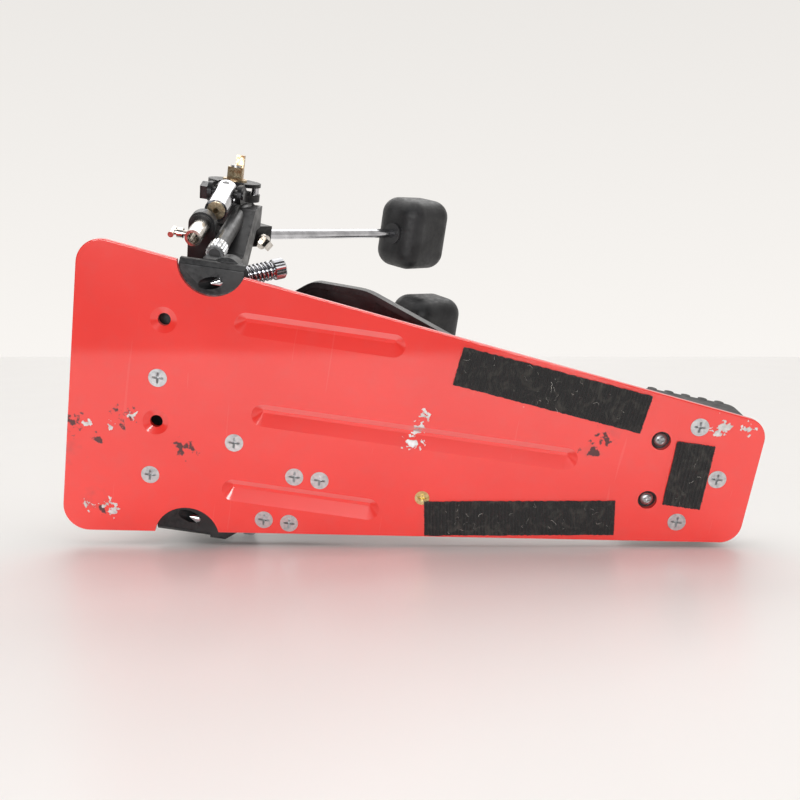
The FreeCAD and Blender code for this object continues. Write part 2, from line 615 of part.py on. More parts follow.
def double_chain(pins, first_bore):
    """Two-row chain through the given pins, as one solid; first_bore leaves the first pin open."""
    solids = []
    for i in range(len(pins) - 1):
        outer_plates = ((-5.4, -4.6), (-0.45, 0.45), (4.6, 5.4))
        inner_plates = ((-4.5, -3.8), (-1.3, -0.5), (0.5, 1.3), (3.8, 4.5))
        rows = outer_plates if i % 2 else inner_plates
        solids += [link_plate(pins[i], pins[i + 1], CAM_X + x0, CAM_X + x1) for x0, x1 in rows]
    for i, (y, z) in enumerate(pins):
        if i or not first_bore:
            solids.append(rod(V(CAM_X - 5.6, y, z), X_AXIS, 1.5, 11.2))
            solids.append(rod(V(CAM_X - 3.8, y, z), X_AXIS, 2.5, 2.5))
            solids.append(rod(V(CAM_X + 1.3, y, z), X_AXIS, 2.5, 2.5))
        else:
            solids.append(rod(V(CAM_X - 5.4, y, z), X_AXIS, LINK_R, 10.8))
    chain = solids[0].fuse(solids[1:])
    if first_bore:
        chain = chain.cut(rod(V(CAM_X - 9, pins[0][0], pins[0][1]), X_AXIS, 2.0 + RUN, 18))
    return chain


def chain_run():
    """Straight part of the chain, from the toe pin upwards between the wheel's flanges."""
    y, z = toe_pin_place()
    return double_chain([(y, z + CHAIN_PITCH * i) for i in range(6)], True)


def chain_wrap():
    """Part of the chain that lies on the wheel and is anchored at its far end."""
    pitch_angle = math.degrees(2 * math.asin(CHAIN_PITCH / 2 / CHAIN_R))
    pins = []
    for i in range(4):
        angle = math.radians(58.4 + pitch_angle * i)
        pins.append((AXLE_Y - CHAIN_R * math.cos(angle), AXLE_Z + CHAIN_R * math.sin(angle)))
    return double_chain(pins, False)


def sector(radius, first, last, x0, x1):
    """Slice of a disc about the axle; angles are measured from the drum side upwards."""
    middle = math.radians((first + last) / 2)
    ends = [math.radians(first), math.radians(last)]
    points = [V(x0, AXLE_Y - radius * math.cos(a), AXLE_Z + radius * math.sin(a))
              for a in (ends[0], middle, ends[1])]
    centre = V(x0, AXLE_Y, AXLE_Z)
    arc = Part.Arc(*points).toShape()
    wire = Part.Wire([Part.makeLine(centre, points[0]), arc, Part.makeLine(points[2], centre)])
    return Part.Face(wire).extrude(V(x1 - x0, 0, 0))


def drive_cam():
    """Chain wheel sector with a side flange on each side and a hub on the hexagonal axle."""
    wheel = sector(CHAIN_R - LINK_R - 0.25, -15, 128, CAM_X - 6.2, CAM_X + 6.2)
    flanges = [sector(FLANGE_R, -15, 128, x, x + 1.8) for x in (CAM_X - 8.0, CAM_X + 6.2)]
    hub = rod(V(CAM_X - 8, AXLE_Y, AXLE_Z), X_AXIS, 11, 16)
    wheel = wheel.fuse(flanges + [hub])
    for angle in (25, 56, 87):
        a = math.radians(angle)
        hole = V(CAM_X - 9, AXLE_Y - 17 * math.cos(a), AXLE_Z + 17 * math.sin(a))
        wheel = wheel.cut(rod(hole, X_AXIS, 3.2, 18))
    return wheel.cut(hexagon(V(CAM_X - 9, AXLE_Y, AXLE_Z), X_AXIS, HEX_FLATS + 0.04, 18))


def main_axle():
    """Hexagonal axle with a round journal at the right and a spigot at the left."""
    shoulder = RIGHT_SET_IN - HOUSING_IN + 0.4
    hexed = hexagon(V(shoulder, AXLE_Y, AXLE_Z), X_AXIS, HEX_FLATS, 63.2 - shoulder)
    journal = rod(V(shoulder - 13.6, AXLE_Y, AXLE_Z), X_AXIS, AXLE_R, 13.8)
    spigot = rod(V(63, AXLE_Y, AXLE_Z), X_AXIS, 4.0, 11.5)
    return hexed.fuse([journal, spigot])


def axle_collar():
    """Collar that keeps the hexagonal axle against the right housing."""
    at = V(RIGHT_SET_IN - HOUSING_IN + 0.5, AXLE_Y, AXLE_Z)
    collar = rod(at, X_AXIS, 10, 5.0).cut(hexagon(at - X_AXIS, X_AXIS, HEX_FLATS + 0.04, 8))
    return collar.cut(rod(at + X_AXIS * 2.5, Z_AXIS, 1.5, 12))


def lean_dir(lean):
    return V(0, math.sin(math.radians(lean)), math.cos(math.radians(lean)))


def screw_dir(lean):
    """Direction of a hub's screw: square to the beater rod, towards the heel and a little to -X."""
    return V(-0.3, 0.954 * math.cos(math.radians(lean)), -0.954 * math.sin(math.radians(lean)))


def beater_hub(x, lean, half_width, bore):
    """Hub on an axle with a neck that clamps the beater rod."""
    axis = V(x, AXLE_Y, AXLE_Z)
    hub = rod(V(x - half_width, AXLE_Y, AXLE_Z), X_AXIS, HUB_R, 2 * half_width)
    neck = aimed(box(-half_width + 0.4, half_width - 0.4, -6.2, 6.2, 0, NECK_REACH), axis, lean_dir(lean))
    hub = hub.makeChamfer(1.0, [e for e in hub.Edges if e.Length > 60]).fuse(neck)
    hub = hub.cut(rod(along(axis, lean_dir(lean), 12.5), lean_dir(lean), ROD_R + RUN, 30))
    hub = hub.cut(rod(along(axis, lean_dir(lean), SCREW_REACH), screw_dir(lean), 2.5 + RUN, 12))
    return hub.cut(bore)


def hub_screw(x, lean):
    """Square-headed screw that presses on the beater rod from the heel side."""
    side = screw_dir(lean)
    at = along(V(x, AXLE_Y, AXLE_Z), lean_dir(lean), SCREW_REACH)
    screw = rod(along(at, side, ROD_R + 0.1), side, 2.5, 7)
    flange = rod(along(at, side, 8.0), side, 4.6, 1.6)
    square = aimed(box(-2.4, 2.4, -2.4, 2.4, 0, 4.8), along(at, side, 9.6), side)
    return screw.fuse([flange, square])


def beater_rod(x, lean):
    start = along(V(x, AXLE_Y, AXLE_Z), lean_dir(lean), 13)
    whole = rod(start, lean_dir(lean), ROD_R, BEATER_R + 12 - 13)
    return whole.makeChamfer(0.6, [e for e in whole.Edges if e.Length > 15 and e.Length < 25])


def beater_head(x, lean):
    """Rounded-square rubber head with a bore for its core."""
    block = box(-23.8, 23.8, -17.5, 17.5, -22, 22)
    block = block.makeFillet(11.5, block.Edges)
    block = block.cut(rod(V(0, 0, -30), Z_AXIS, 7.02, 46))
    return aimed(block, along(V(x, AXLE_Y, AXLE_Z), lean_dir(lean), BEATER_R), lean_dir(lean))


def beater_core(x, lean):
    core = ring(V(0, 0, -23.0), Z_AXIS, 7.0, ROD_R + 0.02, 38.5)
    return aimed(core, along(V(x, AXLE_Y, AXLE_Z), lean_dir(lean), BEATER_R), lean_dir(lean))


def main_hub():
    return beater_hub(MAIN_X, MAIN_LEAN, 7.5, hexagon(V(-20, AXLE_Y, AXLE_Z), X_AXIS, HEX_FLATS + 0.04, 60))


def slave_hub():
    return beater_hub(SLAVE_X, SLAVE_LEAN, 6.4, rod(V(60, AXLE_Y, AXLE_Z), X_AXIS, 9.02, 30))


def slave_axle():
    """Slave spindle: hub core, journal, hexagon for the linkage hub and threaded end."""
    core = rod(V(64.4, AXLE_Y, AXLE_Z), X_AXIS, 9, 14.5)
    journal = rod(V(78, AXLE_Y, AXLE_Z), X_AXIS, AXLE_R, 15)
    hexed = hexagon(V(93, AXLE_Y, AXLE_Z), X_AXIS, 10, 10.2)
    thread = rod(V(103, AXLE_Y, AXLE_Z), X_AXIS, 3, 8.8)
    spindle = core.fuse([journal, hexed, thread])
    return spindle.cut(rod(V(64, AXLE_Y, AXLE_Z), X_AXIS, 5.52, 11.2))


def slave_bush():
    return ring(V(64.6, AXLE_Y, AXLE_Z), X_AXIS, 5.5, 4.0 + RUN, 10.4)


def lobed_disc(x0, x1, slot):
    """Disc about the axle with a lobe on each side and a slot below for the joint's sleeve."""
    disc = rod(V(x0, AXLE_Y, AXLE_Z), X_AXIS, 14.8, x1 - x0)
    for side in (-1, 1):
        disc = disc.cut(rod(V(x0 - 1, AXLE_Y, AXLE_Z + side * 25), X_AXIS, 13, x1 - x0 + 2))
    disc = disc.cut(box(x0 - 1, x1 + 1, AXLE_Y - slot, AXLE_Y + slot, 60, 90))
    return disc.cut(hexagon(V(x0 - 1, AXLE_Y, AXLE_Z), X_AXIS, 10.04, x1 - x0 + 2))


def linkage_hub():
    """Inner yoke plate with two ears that carry the joint's cross."""
    hub = lobed_disc(93.2, 97.2, 7.0)
    for side in (-1, 1):
        y = AXLE_Y + side * 8.1
        ear = slab_xz([(93.3, 66.6, 4.5), (103.6, 66.6, 4.5), (103.6, 76.6, 4), (98.4, 90, 1), (98.4, 101, 1),
                       (93.3, 101, 1)], y - 1.1, y + 1.1)
        hub = hub.fuse(ear)
    return hub.cut(rod(V(JOINT.x, AXLE_Y - 20, JOINT.z), Y_AXIS, 2.5 + RUN, 40))


def linkage_plate():
    return lobed_disc(101.2, 103.2, 7.0)


def linkage_pins():
    """Four bright spacer pins between the two yoke plates."""
    pins = []
    for side in (-1, 1):
        for rise in (-2.6, 3.4):
            pins.append(rod(V(97.2, AXLE_Y + side * 12.0, AXLE_Z + rise), X_AXIS, 1.6, 4.0))
    return Part.makeCompound(pins)


def linkage_bolt():
    """Brass nut with a flange and a square key standing beside it, which clamp the yoke plates."""
    nut = hexagon(V(103.2, AXLE_Y, AXLE_Z), X_AXIS, 8.4, 7.6)
    flange = rod(V(103.2, AXLE_Y, AXLE_Z), X_AXIS, 6.8, 1.1)
    key = box(103.6, 117.4, AXLE_Y - 0.4, AXLE_Y + 4.0, AXLE_Z + 0.4, AXLE_Z + 4.8)
    return nut.fuse([flange, key]).cut(rod(V(100, AXLE_Y, AXLE_Z), X_AXIS, 3.02, 11.9))


def link_cross():
    """Cross of the universal joint: a pin along Y with a square end, and two side trunnions."""
    pin = rod(JOINT - Y_AXIS * 10, Y_AXIS, 2.5, 20)
    block = aimed(box(-3.1, 3.1, -4, 4, -3.1, 3.1), JOINT, SLEEVE_DIR)
    trunnion = rod(JOINT - SLEEVE_SIDE * 5.9, SLEEVE_SIDE, 1.8, 11.8)
    lug = aimed(box(-3.6, 3.6, -13.2, -9.4, -3.6, 3.6), JOINT, SLEEVE_DIR)
    return pin.fuse([block, trunnion, lug])


def link_sleeve():
    """Bright sleeve whose forked, flat-sided top swings on the cross."""
    sleeve = rod(JOINT - SLEEVE_DIR * 4, SLEEVE_DIR, SLEEVE_R, SLEEVE_LENGTH + 4)
    for y0, y1 in ((-9, -5.2), (5.2, 9)):
        sleeve = sleeve.cut(aimed(box(-9, 9, y0, y1, -6, 8.0), JOINT, SLEEVE_DIR))
    slot = aimed(box(-3.35, 3.35, -20, 20, -6, 8.0), JOINT, SLEEVE_DIR)
    sleeve = sleeve.cut(slot).cut(rod(JOINT - SLEEVE_SIDE * 9, SLEEVE_SIDE, 1.8 + RUN, 18))
    return sleeve.cut(rod(along(JOINT, SLEEVE_DIR, 11), SLEEVE_DIR, 4.82, 30))


def link_bush():
    start = along(JOINT, SLEEVE_DIR, SLEEVE_LENGTH - BUSH_LENGTH)
    return ring(start, SLEEVE_DIR, 4.8, 1.5, BUSH_LENGTH + 0.4)


def rocker_pin_place():
    """Rest position of the spring rocker's pin, as (y, z)."""
    drop = math.radians(ROCKER_DROP)
    return AXLE_Y + ROCKER_R * math.cos(drop), AXLE_Z - ROCKER_R * math.sin(drop)


def spring_rocker():
    """Rocker on the hexagonal axle with a headed pin for the spring's eye."""
    y, z = rocker_pin_place()
    rocker = rod(V(ROCKER_X - 3, AXLE_Y, AXLE_Z), X_AXIS, 10.4, 6)
    arm = rod(V(ROCKER_X - 3, y, z), X_AXIS, 5.2, 6)
    pin = rod(V(-50, y, z), X_AXIS, 2.5, ROCKER_X + 3 + 50)
    rocker = rocker.fuse([arm, pin, rod(V(-50, y, z), X_AXIS, 4.2, 1.6)])
    return rocker.cut(hexagon(V(ROCKER_X - 4, AXLE_Y, AXLE_Z), X_AXIS, HEX_FLATS + 0.04, 8))


def spring_stirrup():
    """Eye that hangs on the rocker's pin, with clearance for its swing, and the spring's top plug."""
    _, z = rocker_pin_place()
    at = V(SPRING_X, SPRING_Y, z)
    eye = ring(at - X_AXIS * 2.4, X_AXIS, 7.0, 4.3, 4.8)
    shank = rod(V(SPRING_X, SPRING_Y, 76), Z_AXIS, 2.4, z - 6 - 76)
    plug = rod(V(SPRING_X, SPRING_Y, 68), Z_AXIS, 5.0, 10)
    return eye.fuse([shank, plug, rod(V(SPRING_X, SPRING_Y, 78), Z_AXIS, 6.6, 1.4)])


def return_spring():
    return ring(V(SPRING_X, SPRING_Y, 34), Z_AXIS, 7.0, 5.05, 44)


def spring_eyebolt():
    stud = rod(V(SPRING_X, SPRING_Y, 3.4), Z_AXIS, 2.5, 32)
    barrel = rod(V(SPRING_X, SPRING_Y, 34), Z_AXIS, 5.0, 8)
    return stud.fuse([barrel, rod(V(SPRING_X, SPRING_Y, 32.4), Z_AXIS, 6.6, 1.6)])


def spring_nuts():
    nuts = []
    for z in (BRIDGE_TOP, BRIDGE_TOP + 4.0):
        nut = hexagon(V(SPRING_X, SPRING_Y, z), Z_AXIS, 8, 3.8)
        nuts.append(nut.cut(rod(V(SPRING_X, SPRING_Y, 0), Z_AXIS, 2.52, 30)))
    return Part.makeCompound(nuts)


def all_nodes():
    nodes = {
        "base_plate": base_plate(),
        "velcro_left": hook_strip(34.3, 64.5, 20.5, 98.0, 6.6),
        "velcro_right": hook_strip(-36.0, 60.2, 19.3, 98.5, -8.9),
        "velcro_heel": hook_strip(0.0, 141.2, 35.0, 19.8, 0.0),
        "plate_screws": plate_screws(),
        "zinc_screw": zinc_screw(),
        "heel_block_screws": heel_block_screws(),
        "tower_bridge": tower_bridge(),
        "bridge_screws": bridge_screws(),
        "left_post": left_post(),
        "right_post": right_post(),
        "axle_bearings": axle_bearings(),
        "stay_rod": stay_rod(),
        "stay_nut": stay_nut(),
        "rest_tube": rest_tube(),
        "tube_screw": tube_screw(),
        "left_spur": spur(1),
        "right_spur": spur(-1),
        "left_spur_spring": spur_spring(1),
        "right_spur_spring": spur_spring(-1),
        "clamp_base": clamp_base(),
        "clamp_pin": rod(V(CLAMP_X - 31.5, JAW_Y, JAW_Z), X_AXIS, PIN_R, 63),
        "clamp_jaw": clamp_jaw(),
        "clamp_screw": clamp_screw(),
        "hinge_block": hinge_block(),
        "heel_pin": heel_pin(),
        "heel_plate": heel_plate(),
        "footboard": footboard(),
        "toe_clip": toe_clip(),
        "toe_pin": toe_pin(),
        "toe_clip_screws": toe_clip_screws(),
        "chain_run": chain_run(),
        "chain_wrap": chain_wrap(),
        "drive_cam": drive_cam(),
        "main_axle": main_axle(),
        "axle_collar": axle_collar(),
        "main_hub": main_hub(),
        "slave_axle": slave_axle(),
        "slave_bush": slave_bush(),
        "slave_hub": slave_hub(),
        "linkage_hub": linkage_hub(),
        "linkage_plate": linkage_plate(),
        "linkage_pins": linkage_pins(),
        "linkage_bolt": linkage_bolt(),
        "link_cross": link_cross(),
        "link_sleeve": link_sleeve(),
        "link_bush": link_bush(),
        "spring_rocker": spring_rocker(),
        "spring_stirrup": spring_stirrup(),
        "return_spring": return_spring(),
        "spring_eyebolt": spring_eyebolt(),
        "spring_nuts": spring_nuts(),
    }
    for name, x, lean in (("main", MAIN_X, MAIN_LEAN), ("slave", SLAVE_X, SLAVE_LEAN)):
        nodes[name + "_hub_screw"] = hub_screw(x, lean)
        nodes[name + "_rod"] = beater_rod(x, lean)
        nodes[name + "_head"] = beater_head(x, lean)
        nodes[name + "_head_core"] = beater_core(x, lean)
    return nodes


def origin_shift(nodes):
    """Vector from the modelling origin to the centre of the bottom of the whole object's box."""
    boxes = [shape.optimalBoundingBox(False) for shape in nodes.values()]
    x = (min(b.XMin for b in boxes) + max(b.XMax for b in boxes)) / 2
    y = (min(b.YMin for b in boxes) + max(b.YMax for b in boxes)) / 2
    return V(x, y, min(b.ZMin for b in boxes))


def main():
    os.makedirs("parts", exist_ok=True)
    nodes = all_nodes()
    shift = origin_shift(nodes)
    print("origin in the modelling frame:", round(shift.x, 3), round(shift.y, 3), round(shift.z, 3))
    for name, shape in nodes.items():
        shape.translate(shift * -1)
        shape.exportStep("parts/" + name + ".step")
        print(name, len(shape.Solids), "solids", round(shape.Volume / 1000, 2), "cm3", shape.isValid())


main()
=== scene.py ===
import bmesh
import bpy
import json
import math
import random
from mathutils import Matrix, Vector


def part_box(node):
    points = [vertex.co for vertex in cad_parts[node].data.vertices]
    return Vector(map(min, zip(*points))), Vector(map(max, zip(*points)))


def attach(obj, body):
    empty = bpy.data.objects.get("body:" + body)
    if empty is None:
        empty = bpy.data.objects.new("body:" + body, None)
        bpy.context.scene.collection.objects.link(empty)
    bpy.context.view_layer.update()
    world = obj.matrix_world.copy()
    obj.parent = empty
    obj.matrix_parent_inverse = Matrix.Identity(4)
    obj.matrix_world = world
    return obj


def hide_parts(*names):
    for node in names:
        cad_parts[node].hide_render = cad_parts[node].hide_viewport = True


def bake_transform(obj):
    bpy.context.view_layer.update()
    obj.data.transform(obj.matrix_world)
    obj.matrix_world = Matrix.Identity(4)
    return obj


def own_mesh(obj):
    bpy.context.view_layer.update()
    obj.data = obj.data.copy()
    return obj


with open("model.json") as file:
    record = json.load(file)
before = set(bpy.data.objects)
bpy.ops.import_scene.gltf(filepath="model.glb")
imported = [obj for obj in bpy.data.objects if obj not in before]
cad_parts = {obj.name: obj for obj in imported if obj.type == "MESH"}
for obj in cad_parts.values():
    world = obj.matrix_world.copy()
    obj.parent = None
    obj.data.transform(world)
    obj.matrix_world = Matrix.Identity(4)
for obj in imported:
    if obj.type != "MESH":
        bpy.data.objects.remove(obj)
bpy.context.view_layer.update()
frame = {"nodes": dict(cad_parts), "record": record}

MM = 0.001

# ------------------------------------------------------------------ places taken from the frame
PLATE_LOW, PLATE_HIGH = (Vector(corner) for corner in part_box("base_plate"))
PLATE_CENTRE = Vector(((PLATE_LOW.x + PLATE_HIGH.x) / 2, (PLATE_LOW.y + PLATE_HIGH.y) / 2, PLATE_LOW.z))


def at(x, y, z=0.0):
    """A point given in millimetres from the centre of the base plate's underside."""
    return PLATE_CENTRE + Vector((x, y, z)) * MM


def middle(node):
    low, high = (Vector(corner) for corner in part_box(node))
    return (low + high) / 2


# ------------------------------------------------------------------ view, floor and light
CAMERA_PLACE = at(160.35, -23.48, -471.4)
CAMERA_RIGHT = Vector((0.14391, 0.98948, 0.01503))
CAMERA_UP = Vector((0.94646, -0.14206, 0.28988))
CAMERA_BACK = Vector((0.28896, -0.02749, -0.95695))
CAMERA_LENS = 44.32
VIEW_DIP = math.radians(7.5)  # how far the camera looks down at the table
TABLE_BACK_DIP = math.radians(5.0)  # how far below the horizon the table ends
TABLE_SIDE = 2.6
TABLE_FRONT_LEFT, TABLE_FRONT_RIGHT = 0.262, 0.236  # ahead of the camera's foot
WALL_COLOUR = (0.865, 0.84, 0.81)
TABLE_COLOUR = (0.80, 0.785, 0.77)

# ------------------------------------------------------------------ wear on the plate
# Each zone: place as shares of the plate's half width and half length, reach in mm,
# then how many bare chips, dark scuffs and faint rubs lie in it.
WEAR_ZONES = (
    (-0.15, -0.85, 9.0, 2, 2, 0),  # beside the lower open hole
    (-0.35, -0.95, 10.0, 1, 2, 1),  # middle of the front edge
    (-0.85, -0.90, 9.0, 3, 1, 1),  # lower front corner
    (-0.35, -0.65, 5.0, 0, 2, 0),  # behind the front screws
    (0.05, 0.00, 9.0, 4, 0, 0),  # on the middle groove
    (0.35, 0.90, 8.0, 4, 0, 0),  # upper heel corner
    (0.15, 0.55, 9.0, 0, 2, 2),  # between the long tapes
)
CHIP_RADII = (2.5, 5.0)
SCUFF_RADII = (4.0, 7.5)
RUB_RADII = (6.0, 9.0)


def wear_spots(column, radii):
    """Spots of one kind of wear as x, y and radius in mm, scattered within each zone."""
    dice = random.Random(column)
    half = (PLATE_HIGH - PLATE_LOW) / 2 / MM
    spots = []
    for zone in WEAR_ZONES:
        for _ in range(zone[column]):
            turn = dice.uniform(0, 2 * math.pi)
            away = zone[2] * math.sqrt(dice.random())
            x = zone[0] * half.x + away * math.cos(turn)
            y = zone[1] * half.y + away * math.sin(turn)
            spots.append((x, y, dice.uniform(*radii)))
    return spots


class Nodes:
    """Small helper for building a material's node tree in object coordinates, which are metres here."""

    def __init__(self, name, rough, metal=0.0, colour=(0.5, 0.5, 0.5)):
        self.material = bpy.data.materials.new(name)
        self.material.use_nodes = True
        self.tree = self.material.node_tree
        self.shader = self.tree.nodes["Principled BSDF"]
        self.shader.inputs["Base Color"].default_value = (*colour, 1.0)
        self.shader.inputs["Roughness"].default_value = rough
        self.shader.inputs["Metallic"].default_value = metal
        self.place = self.tree.nodes.new("ShaderNodeTexCoord").outputs["Object"]

    def add(self, kind, **values):
        node = self.tree.nodes.new(kind)
        for key, value in values.items():
            setattr(node, key, value)
        return node

    def link(self, source, target):
        if isinstance(source, (int, float)):
            target.default_value = source
        elif isinstance(source, tuple):
            target.default_value = (*source, 1.0) if len(target.default_value) == 4 else source
        else:
            self.tree.links.new(source, target)

    def stretched(self, scale):
        node = self.add("ShaderNodeMapping")
        node.inputs["Scale"].default_value = scale
        self.link(self.place, node.inputs["Vector"])
        return node.outputs["Vector"]

    def noise(self, size, detail=3.0, where=None, distortion=0.0):
        """Noise whose features are about size millimetres across."""
        node = self.add("ShaderNodeTexNoise")
        node.inputs["Scale"].default_value = 1.0 / (size * MM)
        node.inputs["Detail"].default_value = detail
        node.inputs["Distortion"].default_value = distortion
        self.link(self.place if where is None else where, node.inputs["Vector"])
        return node.outputs["Fac"]

    def cells(self, size):
        node = self.add("ShaderNodeTexVoronoi", feature="F1")
        node.inputs["Scale"].default_value = 1.0 / (size * MM)
        self.link(self.place, node.inputs["Vector"])
        return node.outputs["Distance"]

    def maths(self, operation, a, b):
        node = self.add("ShaderNodeMath", operation=operation)
        for value, socket in zip((a, b), node.inputs):
            self.link(value, socket)
        return node.outputs[0]

    def spread(self, value, low, high, out_low=0.0, out_high=1.0):
        """Map value from low..high to out_low..out_high, clamped."""
        node = self.add("ShaderNodeMapRange", clamp=True)
        for number, socket in zip((value, low, high, out_low, out_high), node.inputs):
            self.link(number, socket)
        return node.outputs[0]

    def blend(self, factor, a, b):
        node = self.add("ShaderNodeMix", data_type="RGBA")
        self.link(factor, node.inputs["Factor"])
        self.link(a, node.inputs[6])
        self.link(b, node.inputs[7])
        return node.outputs[2]

    def distance(self, point):
        node = self.add("ShaderNodeVectorMath", operation="DISTANCE")
        flat = self.add("ShaderNodeVectorMath", operation="MULTIPLY")
        self.link(self.place, flat.inputs[0])
        flat.inputs[1].default_value = (1.0, 1.0, 0.0)
        self.link(flat.outputs[0], node.inputs[0])
        node.inputs[1].default_value = (point.x, point.y, 0.0)
        return node.outputs["Value"]

    def bump(self, height, depth, onto=None):
        """Bump whose height of 1 stands depth millimetres proud."""
        node = self.add("ShaderNodeBump")
        node.inputs["Distance"].default_value = depth * MM
        node.inputs["Strength"].default_value = 1.0
        self.link(height, node.inputs["Height"])
        if onto is not None:
            self.link(onto, node.inputs["Normal"])
        self.link(node.outputs["Normal"], self.shader.inputs["Normal"])
        return node.outputs["Normal"]

    def colour(self, source):
        self.link(source, self.shader.inputs["Base Color"])

    def rough(self, source):
        self.link(source, self.shader.inputs["Roughness"])

    def metal(self, source):
        self.link(source, self.shader.inputs["Metallic"])

    def set(self, name, value):
        self.shader.inputs[name].default_value = value


def patches(nodes, spots, grain, softness):
    """Ragged patches, each spot being x, y and radius in millimetres."""
    ragged = nodes.maths("MULTIPLY", nodes.maths("SUBTRACT", grain, 0.5), softness)
    total = None
    for x, y, radius in spots:
        reach = nodes.maths("DIVIDE", nodes.distance(at(x, y)), radius * MM)
        inside = nodes.maths("ADD", nodes.maths("SUBTRACT", 1.0, reach), ragged)
        total = inside if total is None else nodes.maths("MAXIMUM", total, inside)
    return total


# ------------------------------------------------------------------ materials
def red_enamel():
    n = Nodes("red enamel", 0.30, colour=(0.82, 0.03, 0.024))
    fine = n.noise(2.6, 6.0)
    chips = n.spread(patches(n, wear_spots(3, CHIP_RADII), fine, 4.2), 0.52, 0.60)
    scuffs = n.spread(patches(n, wear_spots(4, SCUFF_RADII), n.noise(3.4, 8.0), 5.0), 0.55, 0.85, 0.0, 0.92)
    rubs = n.spread(patches(n, wear_spots(5, RUB_RADII), n.noise(5.0, 9.0), 3.0), 0.30, 1.40, 0.0, 0.30)
    freckles = n.spread(n.cells(23.0), 0.045, 0.030)
    freckles = n.maths("MULTIPLY", freckles, n.spread(n.noise(40.0, 2.0), 0.56, 0.62))
    hairlines = n.spread(n.noise(30.0, 2.0, n.stretched((0.5, 9.0, 1.0)), 0.6), 0.704, 0.716, 0.0, 0.07)
    bare = n.maths("MAXIMUM", chips, freckles)
    clean = n.blend(n.spread(n.noise(60.0, 3.0), 0.3, 0.7), (0.84, 0.032, 0.023), (0.90, 0.041, 0.031))
    # Painted reflection: a pale tint on the grooves' upper, downward-facing flanks stands in for the bright
    # table that the real flanks mirror.
    slope = n.add("ShaderNodeSeparateXYZ")
    n.link(n.add("ShaderNodeTexCoord").outputs["Normal"], slope.inputs[0])
    flank_painted_reflection = n.maths("MINIMUM", n.spread(slope.outputs["X"], -0.40, -0.60, 0.0, 0.8),
                    n.spread(slope.outputs["X"], -0.95, -0.80, 0.0, 0.8))
    # From here on, clean also carries the painted reflection on the upper flanks.
    clean = n.blend(flank_painted_reflection, clean, (0.95, 0.27, 0.26))
    dusty = n.blend(n.spread(n.noise(9.0, 9.0), 0.50, 0.80, 0.0, 0.12), clean, (0.62, 0.12, 0.11))
    lined = n.blend(hairlines, dusty, (0.90, 0.35, 0.32))
    rubbed = n.blend(rubs, lined, (0.30, 0.06, 0.06))
    scuffed = n.blend(scuffs, rubbed, (0.035, 0.030, 0.032))
    metal = n.blend(n.spread(fine, 0.3, 0.7), (0.42, 0.41, 0.40), (0.78, 0.77, 0.76))
    n.colour(n.blend(bare, scuffed, metal))
    n.metal(n.maths("MULTIPLY", bare, 0.75))
    worn = n.maths("MAXIMUM", bare, scuffs)
    n.rough(n.spread(worn, 0.0, 1.0, 0.30, 0.55))
    n.link(n.maths("SUBTRACT", 1.0, worn), n.shader.inputs["Coat Weight"])
    n.set("Coat Roughness", 0.085)
    n.set("Coat IOR", 1.66)
    peel = n.bump(n.noise(3.2, 2.0), 0.018)
    n.bump(n.maths("SUBTRACT", 1.0, worn), 0.12, onto=peel)
    return n.material


def hook_tape():
    n = Nodes("hook tape", 0.78)
    grime = n.spread(n.noise(7.0, 10.0, distortion=1.5), 0.50, 0.72, 0.0, 0.5)
    fuzz = n.noise(0.7, 6.0)
    base = n.blend(fuzz, (0.004, 0.004, 0.0045), (0.022, 0.021, 0.020))
    n.colour(n.blend(grime, base, (0.085, 0.078, 0.066)))
    n.set("Sheen Weight", 0.12)
    n.bump(fuzz, 0.25)
    return n.material


def lint_fibre():
    n = Nodes("lint", 0.8)
    n.colour(n.blend(n.spread(n.noise(6.0, 2.0), 0.4, 0.6), (0.16, 0.15, 0.14), (0.55, 0.52, 0.48)))
    n.bump(n.noise(0.3, 2.0), 0.02)
    return n.material


def black_coat(name, dark, light, rough, grain):
    """Black paint or casting with fine grain, dust and rubbed spots."""
    n = Nodes(name, rough)
    dust = n.spread(n.noise(14.0, 8.0), 0.45, 0.75)
    n.colour(n.blend(dust, dark, light))
    n.rough(n.spread(n.noise(5.0, 6.0), 0.3, 0.7, rough - 0.08, rough + 0.10))
    point = n.add("ShaderNodeNewGeometry").outputs["Pointiness"]
    rubbed = n.maths("ADD", point, n.maths("MULTIPLY", n.maths("SUBTRACT", n.noise(2.5, 5.0), 0.5), 0.12))
    n.metal(n.spread(rubbed, 0.575, 0.62, 0.0, 0.6))
    n.bump(n.noise(grain, 3.0), 0.045)
    return n.material


def bright_metal(name, dark, light, rough, scratches, blotch=9.0, grain=0.012):
    """Plated or bare metal with blotches, fine lines and dulled patches."""
    n = Nodes(name, rough, metal=1.0)
    lines = n.noise(0.9, 3.0, n.stretched(scratches))
    blotches = n.noise(blotch, 6.0, distortion=0.5)
    n.colour(n.blend(n.spread(blotches, 0.35, 0.68), light, dark))
    dulled = n.spread(blotches, 0.4, 0.75, rough * 0.75, rough * 1.7)
    n.rough(n.maths("ADD", dulled, n.maths("MULTIPLY", lines, 0.05)))
    n.bump(lines, grain)
    return n.material


def rubber():
    n = Nodes("beater rubber", 0.5)
    n.colour(n.blend(n.spread(n.noise(12.0, 7.0), 0.4, 0.8), (0.010, 0.010, 0.011), (0.040, 0.040, 0.042)))
    n.rough(n.spread(n.noise(3.0, 6.0), 0.3, 0.7, 0.40, 0.62))
    mottled = n.bump(n.cells(1.6), 0.06)
    n.bump(n.noise(0.5, 2.0), 0.03, onto=mottled)
    return n.material


def moulded_plastic():
    n = Nodes("moulded plastic", 0.5)
    n.colour(n.blend(n.noise(8.0, 4.0), (0.014, 0.014, 0.015), (0.040, 0.040, 0.042)))
    n.rough(n.spread(n.noise(2.0, 3.0), 0.3, 0.7, 0.42, 0.60))
    n.bump(n.cells(0.9), 0.03)
    return n.material


